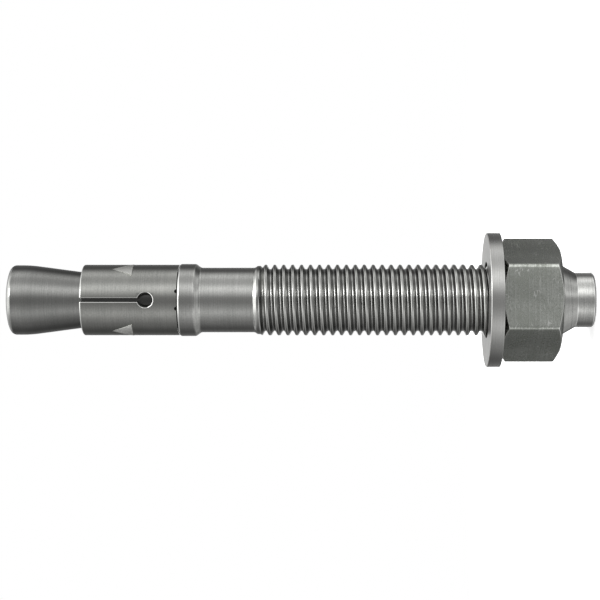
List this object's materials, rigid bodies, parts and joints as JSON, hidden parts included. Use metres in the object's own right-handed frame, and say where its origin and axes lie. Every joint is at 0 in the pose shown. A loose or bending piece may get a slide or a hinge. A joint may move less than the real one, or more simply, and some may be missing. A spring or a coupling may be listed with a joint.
{
  "type": "wedge anchor",
  "caption": "Steel expansion bolt for concrete: threaded bolt with a flared cone end, slotted expansion clip, flat washer and hexagon nut.",
  "frame": {"origin": "centre of the face of the threaded end, on which the anchor stands", "axes": "+Z along the bolt's axis, from the threaded end towards the cone"},
  "size_m": [0.03, 0.03, 0.13],
  "materials": {
    "bolt_steel": "turned and plated, with fine lines round the axis",
    "clip_steel": "rolled sheet with fine lines round the axis",
    "washer_steel": "punched and plated, satin",
    "nut_steel": "formed and plated, satin"
  },
  "bodies": {
    "bolt": {"cone_bolt": "bolt_steel"},
    "clip": {"expansion_clip": "clip_steel"},
    "washer": {"washer": "washer_steel"},
    "nut": {"hex_nut": "nut_steel"}
  },
  "joints": [
    {"name": "clip_slide", "type": "slide", "parent": "bolt", "child": "clip", "axis": [0, 0, 1], "range_m": [-0.0002, 0.001]},
    {"name": "washer_travel", "type": "slide", "parent": "bolt", "child": "washer", "axis": [0, 0, 1], "range_m": [-0.0076, 0.0541]},
    {"name": "nut_turn", "type": "hinge", "parent": "washer", "child": "nut", "pos_m": [0, 0, 0.0143], "axis": [0, 0, 1], "range_deg": [-1350, 9720]}
  ],
  "couplings": [
    {"joint": "washer_travel", "follows": "nut_turn", "m_per_rad": 0.00031831}
  ]
}
